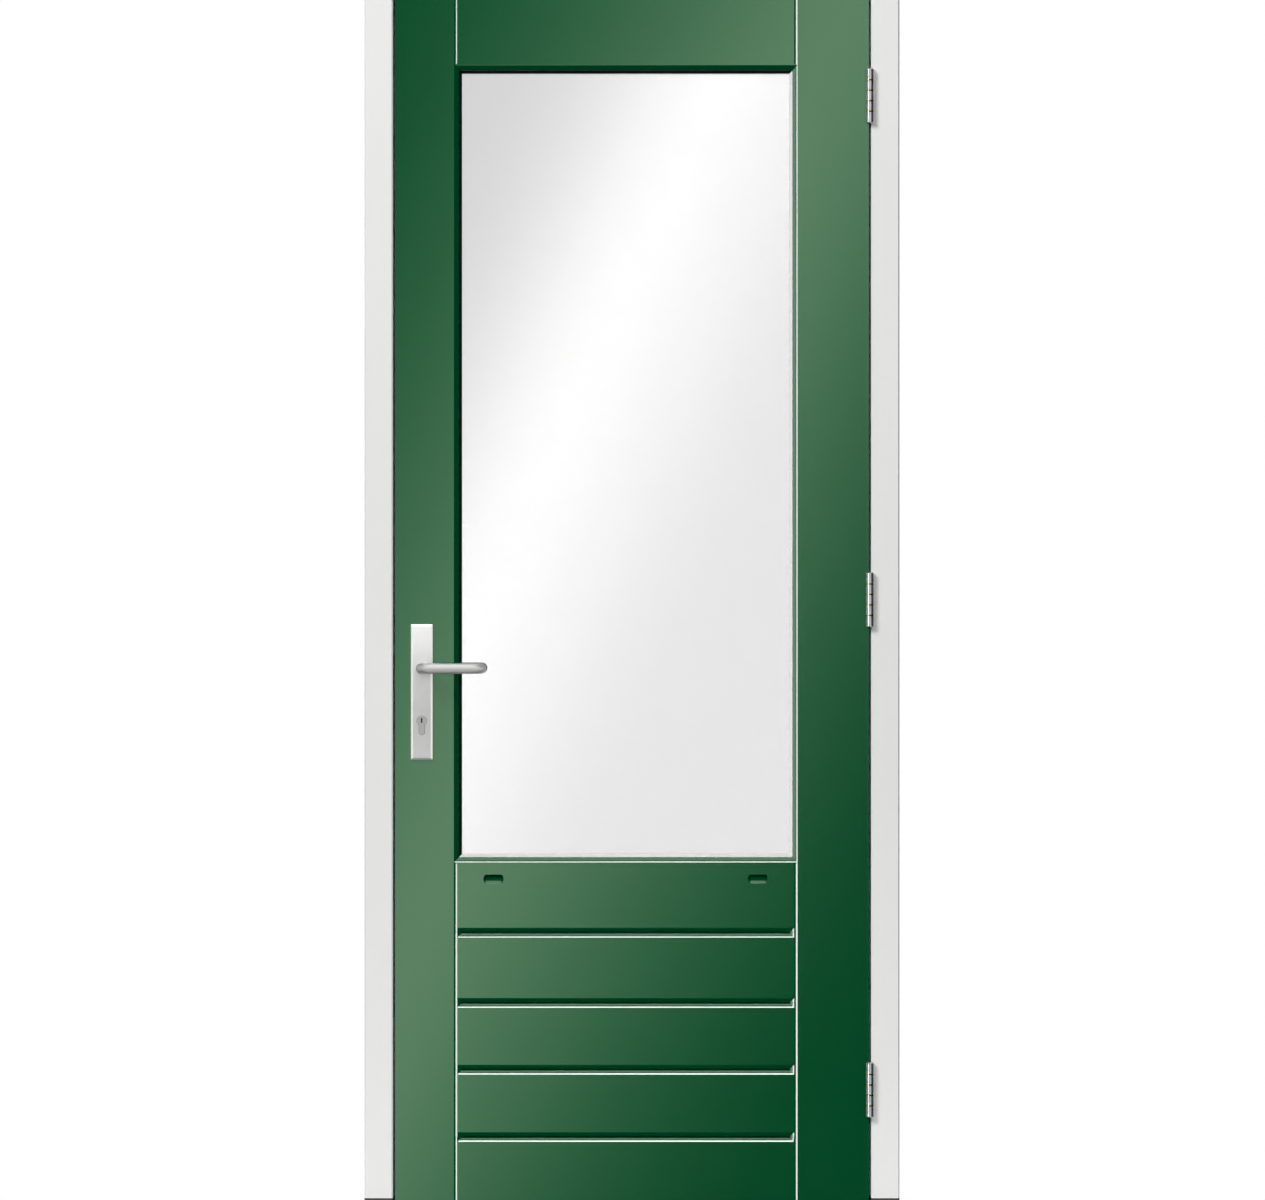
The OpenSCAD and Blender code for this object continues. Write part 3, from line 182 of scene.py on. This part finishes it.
def green_paint(name, along):
    finish, field, shader = material(name, IOR=1.6, Specular_IOR_Level=0.84)
    streak = field.noise(420, detail=3.0, stretch=lengthways(along, 0.012))
    cloud = field.noise(5)
    tone = streak * 0.25 + cloud * 0.35 + 0.5
    feed(
        shader,
        Base_Color=tone.blend((0.0, 0.058, 0.0166), (0.0, 0.072, 0.0214)),
        Roughness=streak * 0.04 + cloud * 0.02 + 0.12,
        Normal=streak.bump(0.00004, strength=0.5),
    )
    return finish


ALONG_X, ALONG_Z = 0, 2
UPRIGHTS = "lock_stile hinge_stile left_bead right_bead"
LEVELS = "top_rail mid_rail upper_board middle_board lower_board bottom_rail top_bead bottom_bead"
PAINTED = UPRIGHTS + " " + LEVELS
dress(UPRIGHTS, green_paint("green_paint_upright", ALONG_Z))
dress(LEVELS, green_paint("green_paint_level", ALONG_X))
ease(PAINTED, 0.0006)


# Frame: two jambs and a head of softwood, dowelled at the corners and screwed to the wall through the jambs.
# The coat is satin white, brushed along each length.
def white_paint(name, along):
    finish, field, shader = material(name, IOR=1.5, Specular_IOR_Level=0.4)
    streak = field.noise(380, detail=3.0, stretch=lengthways(along, 0.012))
    cloud = field.noise(4)
    tone = streak * 0.3 + cloud * 0.6 + 0.5
    feed(
        shader,
        Base_Color=tone.blend((0.8, 0.8, 0.785), (0.87, 0.87, 0.86)),
        Roughness=streak * 0.1 + 0.34,
        Normal=streak.bump(0.00005, strength=0.5),
    )
    return finish


dress("lock_jamb hinge_jamb", white_paint("white_paint_upright", ALONG_Z))
dress("head", white_paint("white_paint_level", ALONG_X))
ease("lock_jamb hinge_jamb head", 0.0008)

# Threshold: one pultruded length of dark composite under both jambs, matt, with a mineral speckle and with
# scuffs along it.
finish, field, shader = material("threshold_composite", Specular_IOR_Level=0.35)
speckle = field.noise(900, rough=0.7)
scuff = field.noise(60, detail=3.0, stretch=lengthways(ALONG_X, 0.05))
tone = speckle * 1.2 + scuff * 0.5 + 0.5
feed(
    shader,
    Base_Color=tone.blend((0.03, 0.032, 0.034), (0.09, 0.094, 0.098)),
    Roughness=scuff * 0.2 + 0.55,
    Normal=speckle.bump(0.0001, strength=0.6),
)
dress("threshold", finish)
ease("threshold", 0.001)


# Dowels: bare turned beech, glued into the joints of the leaf, where they lie level, and of the frame, where
# they stand. Rays run along the grain.
def dowel_wood(name, along):
    finish, field, shader = material(name, Specular_IOR_Level=0.3)
    stretch = lengthways(along, 0.03)
    ray = field.noise(700, detail=4.0, stretch=stretch)
    ring = field.noise(90, stretch=stretch)
    tone = ray * 0.7 + ring * 0.8 + 0.5
    feed(
        shader,
        Base_Color=tone.blend((0.36, 0.2, 0.085), (0.6, 0.37, 0.17)),
        Roughness=ray * 0.2 + 0.55,
        Normal=ray.bump(0.00008, strength=0.6),
    )
    return finish


dress("leaf_dowels", dowel_wood("bare_wood_level", ALONG_X))
dress("frame_dowels", dowel_wood("bare_wood_upright", ALONG_Z))

# Seals: extruded black rubber with a glossy skin, pushed into kerfs round the frame and pressed against
# both panes.
finish, field, shader = material("seal_rubber", Specular_IOR_Level=0.5)
bloom = field.noise(45, detail=3.0)
pore = field.noise(1500, detail=1.0)
feed(
    shader,
    Base_Color=(bloom * 0.8 + 0.4).blend((0.006, 0.007, 0.006), (0.02, 0.021, 0.02)),
    Roughness=bloom * 0.08 + 0.2,
    Normal=pore.bump(0.00005, strength=0.5),
)
dress("lock_seal hinge_seal head_seal threshold_seal outer_glazing_seal inner_glazing_seal", finish)

# Black mouldings: the box behind the strike plate, the blocks that the glass stands on and the bushes that
# the levers turn in, of moulded plastic with a fine spark-eroded skin.
finish, field, shader = material("black_plastic", Specular_IOR_Level=0.5)
spark = field.noise(1200)
feed(
    shader,
    Base_Color=(spark + 0.5).blend((0.018, 0.018, 0.018), (0.04, 0.04, 0.041)),
    Roughness=spark * 0.2 + 0.5,
    Normal=spark.bump(0.00008, strength=0.7),
)
dress("strike_box setting_blocks lever_bushes", finish)

# Double glazing: two panes of clear float glass, faintly grey, held between the seals by the beads. They
# have the slight waviness of float glass.
finish, field, shader = material(
    "clear_glass", IOR=1.5, Roughness=0.0, Transmission_Weight=1.0, Base_Color=(0.82, 0.823, 0.82, 1)
)
feed(shader, Normal=field.noise(3, detail=1.0).bump(0.00002, strength=0.3))
PANES = "outer_pane inner_pane"
dress(PANES, finish)

# Spacer: a bent aluminium tube that keeps the panes apart, with two rows of breathing holes and a dull mill
# skin.
finish, field, shader = material("spacer_aluminium", Metallic=1.0)
skin = field.noise(300, detail=3.0)
feed(
    shader,
    Base_Color=(skin + 0.5).blend((0.42, 0.43, 0.44), (0.62, 0.63, 0.64)),
    Roughness=skin * 0.2 + 0.42,
    Normal=skin.bump(0.00005, strength=0.4),
)
dress("glass_spacer", finish)


# Lever handles and their long plates: satin anodised aluminium, brushed along the plate and the bar. The
# bent bars get a darker base colour than the plates, painted shade that dims the bars, and screws hold the
# pair through the leaf.
def satin(name, along, tone, rough):
    finish, field, shader = material(name, Metallic=1.0)
    line = field.noise(2600, detail=3.0, stretch=lengthways(along, 0.02))
    haze = field.noise(40)
    low, high = ((tone * share, tone * share, tone * (share - 0.01)) for share in (0.9, 1.1))
    feed(
        shader,
        Base_Color=(line * 0.5 + haze * 0.5 + 0.5).blend(low, high),
        Roughness=line * 0.12 + haze * 0.06 + rough,
        Normal=line.bump(0.00001, strength=0.4),
    )
    return finish


PLATES = "outside_plate inside_plate"
LEVERS = "outside_lever inside_lever"
dress(PLATES, satin("satin_aluminium_upright", ALONG_Z, tone=0.7, rough=0.32))
# The bars' lower tone is painted shade on the same metal as the plates.
dress(LEVERS, satin("satin_aluminium_level_painted_shade", ALONG_X, tone=0.56, rough=0.54))
ease(PLATES, 0.0004)

# Profile cylinder: brass body and plugs under satin nickel, drawn lengthways and polished at the face. One
# screw through the forend holds it.
finish, field, shader = material("nickel_brass", Metallic=1.0)
draw = field.noise(1800, detail=3.0, stretch=(1, 0.05, 1))
feed(
    shader,
    Base_Color=(draw + 0.5).blend((0.5, 0.495, 0.48), (0.66, 0.655, 0.64)),
    Roughness=draw * 0.15 + 0.3,
    Normal=draw.bump(0.00001, strength=0.4),
)
dress("cylinder_body outside_plug inside_plug", finish)

# Bearing rings: turned brass washers on the pins, between the knuckles of the hinges, with fine rings from
# the lathe.
finish, field, shader = material("ring_brass", Metallic=1.0)
turned = field.noise(2200, stretch=(0.2, 0.2, 1))
feed(
    shader,
    Base_Color=(turned + 0.5).blend((0.62, 0.42, 0.16), (0.8, 0.6, 0.28)),
    Roughness=turned * 0.15 + 0.27,
    Normal=turned.bump(0.00001, strength=0.4),
)
dress("hinge_rings", finish)

# Steel: hinges, screws, the lock's case and works, its forend and the strike plate, pressed, turned or
# milled and then zinc plated, with the cloudy blue-grey bloom of the plating.
finish, field, shader = material("plated_steel", Metallic=1.0)
bloom = field.noise(70, detail=4.0)
grit = field.noise(1600)
tone = bloom * 1.2 + grit * 0.3 + 0.5
feed(
    shader,
    Base_Color=tone.blend((0.46, 0.48, 0.5), (0.68, 0.68, 0.67)),
    Roughness=bloom * 0.2 + grit * 0.08 + 0.34,
    Normal=grit.bump(0.00002, strength=0.4),
)
HINGES = (
    "frame_hinge_leaf_top frame_hinge_leaf_middle frame_hinge_leaf_bottom hinge_pins "
    "door_hinge_leaf_top door_hinge_leaf_middle door_hinge_leaf_bottom"
)
dress(HINGES, finish)
dress("strike_plate frame_screws door_screws lock_case lock_cover forend cylinder_screw", finish)
dress("plate_screws spindle follower grub_screws latch_bolt dead_bolt cylinder_cam", finish)

# Latch spring: round steel wire, coiled round the latch's rod between its shoulder and the guide. It stands
# for the faceted CAD coil and rides on the leaf.
wire_r = 0.0006
turns, steps = 7, 32
low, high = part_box("latch_spring")
coil_y, coil_z = (low[1] + high[1]) / 2, (low[2] + high[2]) / 2
coil_r = (high[2] - low[2]) / 2 - wire_r
pitch = (high[0] - low[0] - 2 * wire_r) / turns
wire = bpy.data.curves.new("latch_wire", "CURVE")
wire.dimensions = "3D"
wire.bevel_depth = wire_r
wire.bevel_resolution = 3
wire.use_fill_caps = True
helix = wire.splines.new("POLY")
helix.points.add(turns * steps)
for i, point in enumerate(helix.points):
    turn = i / steps
    angle = 2 * math.pi * turn
    x = low[0] + wire_r + pitch * turn
    point.co = (x, coil_y + coil_r * math.cos(angle), coil_z + coil_r * math.sin(angle), 1)
strand = bpy.data.objects.new("latch_wire", wire)
coil = bpy.data.meshes.new_from_object(strand)
bpy.data.objects.remove(strand)
coil.materials.append(finish)
spring = show("latch_coil", coil)
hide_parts("latch_spring")
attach(spring, "door")
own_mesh(spring)


# Floor: a pale disc under the door and its swing, which keeps their shadow and fades out into the white
# round it. It isn't mirrored in the door.
def ramp(field, start, end):
    """0 to 1, smoothly, as the field goes from start to end."""
    return field.make(
        "MapRange", {"interpolation_type": "SMOOTHSTEP"}, {"Value": field, "From Min": start, "From Max": end}
    )


floor_r, floor_y = 1.25, -0.45
disc = bpy.data.meshes.new("floor")
shape = bmesh.new()
bmesh.ops.create_circle(shape, cap_ends=True, segments=96, radius=floor_r)
shape.to_mesh(disc)
shape.free()
floor = show("floor", disc)
floor.location = (0, floor_y, 0)
finish, field, shader = material("floor", Specular_IOR_Level=0.1)
grain = field.noise(30, detail=3.0)
distance = field.make("VectorMath", {"operation": "LENGTH"}, {0: field.place()}, "Value")
feed(
    shader,
    Base_Color=(grain + 0.5).blend((0.86, 0.86, 0.86), (0.9, 0.9, 0.9)),
    Roughness=grain * 0.1 + 0.7,
    Alpha=1 - ramp(distance, floor_r * 0.4, floor_r),
)
disc.materials.append(finish)
floor.visible_glossy = False


# Lights: narrow strips on the left and above, whose reflections draw the bright edges of the joints and
# bevels; soft panels that are seen in the bevels, the levers or the glazing seal alone; and broad fills that
# only light the surfaces.
def group(name, pieces):
    """A collection of these CAD pieces, for a light that is seen in them alone."""
    made = bpy.data.collections.new(name)
    for piece in pieces.split():
        made.objects.link(nodes[piece])
    return made


def panel(name, target, direction, distance, size, radiance, seen_in=None, colour=(1, 1, 1)):
    """A soft panel of this size in metres that looks at target from direction.

    A panel that is seen in a group of pieces is a reflection only, and one that isn't gives diffuse light.
    """
    data = bpy.data.lights.new(name, "AREA")
    data.shape = "RECTANGLE"
    data.size, data.size_y = size
    data.energy = radiance * size[0] * size[1] * math.pi
    data.color = colour
    light = show(name, data)
    way = Vector(direction).normalized()
    light.location = Vector(target) + way * distance
    light.rotation_euler = way.to_track_quat("Z", "Y").to_euler()
    light.visible_camera = False
    light.visible_transmission = False
    light.visible_diffuse = seen_in is None
    light.visible_glossy = seen_in is not None
    light.light_linking.receiver_collection = seen_in


def bearing(left, up):
    """Direction out of the leaf's face, turned by these degrees to the left and up."""
    a, e = math.radians(left), math.radians(up)
    return (-math.sin(a) * math.cos(e), -math.cos(a) * math.cos(e), math.sin(e))


soft_lit = PANES.split() + ["outside_lever"]
edged = group("edged", " ".join(name for name in nodes if name not in soft_lit))
edged.objects.link(spring)
painted = group("painted", PAINTED)
handles = group("handles", LEVERS + " " + PLATES)
seal = group("glazing_seal", "outer_glazing_seal")
middle = (0, face_y, 1.1)
boards = (0, face_y, 0.45)
right_bevel = (0.28, face_y, 1.2)
right_seal = (0.29, -0.044, 1.35)
bottom_seal = (0, -0.044, 0.65)
grip = (-0.32, -0.1, 0.99)
back_right, back_left = (0.6, 0.75, 0.45), (-0.7, 0.7, 0.3)
leafy = (0.74, 1.0, 0.78)
panel("left_strip", middle, bearing(50, 0), distance=6.0, size=(1.1, 3.6), radiance=10.0, seen_in=edged)
panel("top_strip", boards, bearing(0, 47.2), distance=6.0, size=(1.5, 1.5), radiance=14.0, seen_in=edged)
panel(
    "left_side", right_bevel, bearing(68, 0), distance=5.0, size=(1.1, 3.4), radiance=1.9, seen_in=painted,
    colour=leafy,
)
panel(
    "top_side", boards, bearing(0, 68.5), distance=5.0, size=(1.8, 1.3), radiance=1.4, seen_in=painted,
    colour=leafy,
)
panel("right_gleam", middle, bearing(-31, 12), distance=7.0, size=(1.6, 3.0), radiance=1.2, seen_in=painted)
panel("grip_top", grip, bearing(0, 78), distance=2.0, size=(1.6, 1.2), radiance=2.4, seen_in=handles)
panel("grip_left", grip, bearing(76, 0), distance=0.9, size=(0.7, 0.9), radiance=0.75, seen_in=handles)
panel("grip_right", grip, bearing(-76, 0), distance=0.9, size=(0.7, 0.9), radiance=1.3, seen_in=handles)
panel("grip_under", grip, bearing(0, -76), distance=0.8, size=(0.9, 0.7), radiance=0.4, seen_in=handles)
panel("seal_left", right_seal, bearing(45.7, 0), distance=5.0, size=(1.8, 4.0), radiance=16.5, seen_in=seal)
panel("seal_top", bottom_seal, bearing(0, 45), distance=5.0, size=(2.4, 1.8), radiance=9.0, seen_in=seal)
panel("key_fill", middle, bearing(32, 34), distance=8.0, size=(3.0, 3.0), radiance=16.5)
panel("front_fill", middle, bearing(-14, 8), distance=9.0, size=(5.0, 4.0), radiance=4.7)
panel("back_key", middle, back_right, distance=6.0, size=(3.0, 3.0), radiance=4.0)
panel("back_gleam", middle, back_right, distance=6.0, size=(3.0, 3.0), radiance=4.0, seen_in=edged)
panel("back_fill", middle, back_left, distance=6.0, size=(3.0, 3.0), radiance=2.0)


# Gleam cards: sheets of soft light in front of the door, each seen only as the gleam on its own pieces.
# A card stands farther from the lens's axis than its gleam does, as in any mirror, and it doesn't show
# straight through the glass.
def gleam_card(name, pieces, gap, centre, across, half, strength, glow):
    """A card `gap` metres before the leaf, `half` as its half sizes; glow gives its colour at a place."""
    across = Vector((across[0], 0, across[1])).normalized()
    along = Vector((-across.z, 0, across.x))
    mesh = bpy.data.meshes.new(name)
    shape = bmesh.new()
    bmesh.ops.create_grid(shape, x_segments=1, y_segments=1, size=1)
    bmesh.ops.scale(shape, vec=(half[0], half[1], 1), verts=shape.verts)
    shape.to_mesh(mesh)
    shape.free()
    card = show(name, mesh)
    turned = Matrix((across, along, across.cross(along))).transposed().to_4x4()
    card.matrix_world = Matrix.Translation((centre[0], face_y - gap, centre[1])) @ turned
    card.visible_camera = card.visible_shadow = card.visible_diffuse = False
    card.light_linking.receiver_collection = group(name + "_pieces", pieces)
    sheet = bpy.data.materials.new(name)
    sheet.use_nodes = True
    sheet.node_tree.nodes.clear()
    field = Field(sheet.node_tree)
    x, y = (field.make("SeparateXYZ", None, {0: field.place()}, axis) for axis in "XY")
    light = field.make("Emission", None, {"Color": glow(x, y), "Strength": strength})
    clear = field.make("BsdfTransparent")
    lit = field.make("AddShader", None, {0: clear, 1: light})
    mirrors = field.make("LightPath", out="Ray Depth") - field.make("LightPath", out="Transmission Depth")
    both = field.make("MixShader", None, {0: mirrors, 1: clear, 2: lit})
    output = sheet.node_tree.nodes.new("ShaderNodeOutputMaterial")
    sheet.node_tree.links.new(both.socket, output.inputs["Surface"])
    mesh.materials.append(sheet)


def bell(field, sigma):
    """1 where the field is 0, falling off to both sides."""
    step = field / sigma
    return field.math("EXPONENT", step * step * -0.5)


def mirrored(gap, across, offset):
    """Middle of a card whose gleam lies `offset` metres along across from the middle of the picture."""
    way = Vector(across).normalized() * offset * (1 + gap / eye_gap)
    return (eye_x + way.x, eye_z + way.y)


def paint_glow(x, y):
    """A ridge with straight sides, greener where it is faint."""
    rise = x.make("MapRange", None, {"Value": x, "From Min": -1.27, "From Max": 0.0})
    fall = x.make("MapRange", None, {"Value": x, "From Min": 1.1, "From Max": 0.0})
    slope = rise * fall
    red, green, blue = slope ** 2.5 * 0.68, slope ** 1.9, slope ** 2.15 * 0.67
    return x.make("CombineColor", None, {0: red, 1: green, 2: blue})


def glass_glow(x, y):
    """A soft ridge that stays paler on its far side."""
    peak = bell(x, sigma=0.205)
    return peak + ramp(x, 0.0, 0.25) * 0.4 * (1 - peak)


def handle_glow(x, y):
    """Bright above, dim in the middle and a little brighter again below."""
    above, below = ramp(y, -0.03, 0.14), ramp(y, -0.06, -0.16)
    return above * 0.66 + below * 0.2 + 0.26


def hinge_glow(x, y):
    return bell(x, sigma=0.25)


paint_gap, paint_slant = 5.0, (0.9055, -0.4244)
glass_gap, glass_slant = 4.4, (0.9106, -0.413)
level = (1, 0)
gleam_card(
    "paint_card", PAINTED, paint_gap, mirrored(paint_gap, paint_slant, offset=-0.0876), paint_slant,
    half=(1.7, 2.0), strength=2.25, glow=paint_glow,
)
gleam_card(
    "glass_card", PANES, glass_gap, mirrored(glass_gap, glass_slant, offset=-0.229), glass_slant,
    half=(1.7, 2.2), strength=3.1, glow=glass_glow,
)
gleam_card(
    "handle_card", "outside_plate outside_lever cylinder_body outside_plug", 0.5, (-0.368, 0.96), level,
    half=(0.7, 0.75), strength=1.67, glow=handle_glow,
)
gleam_card(
    "hinge_card", HINGES, 0.7, (0.42, 1.1), level, half=(0.6, 1.3), strength=1.0, glow=hinge_glow,
)

# World: white behind the door for the camera and through the glass, and for reflections a room that is
# pale behind and above and dark in front.
world = bpy.data.worlds.new("world")
world.use_nodes = True
world.node_tree.nodes.clear()
field = Field(world.node_tree)
way = field.make("TexCoord", out="Generated")
pale_side = (-0.35, 0.75, 0.55)
lean = field.make("VectorMath", {"operation": "DOT_PRODUCT"}, {0: way, 1: pale_side}, "Value")
dark, pale, white = (
    field.make("Background", None, {"Color": (1, 1, 1, 1), "Strength": strength})
    for strength in (0.0, 0.4, 1.0)
)
seen = field.make("LightPath", out="Is Camera Ray") + field.make("LightPath", out="Is Transmission Ray")
room = field.make("MixShader", None, {0: ramp(lean, 0.0, 0.6), 1: dark, 2: pale})
backdrop = field.make("MixShader", None, {0: seen, 1: room, 2: white})
output = world.node_tree.nodes.new("ShaderNodeOutputWorld")
world.node_tree.links.new(backdrop.socket, output.inputs["Surface"])
bpy.context.scene.world = world

bpy.context.scene.view_settings.view_transform = "Standard"
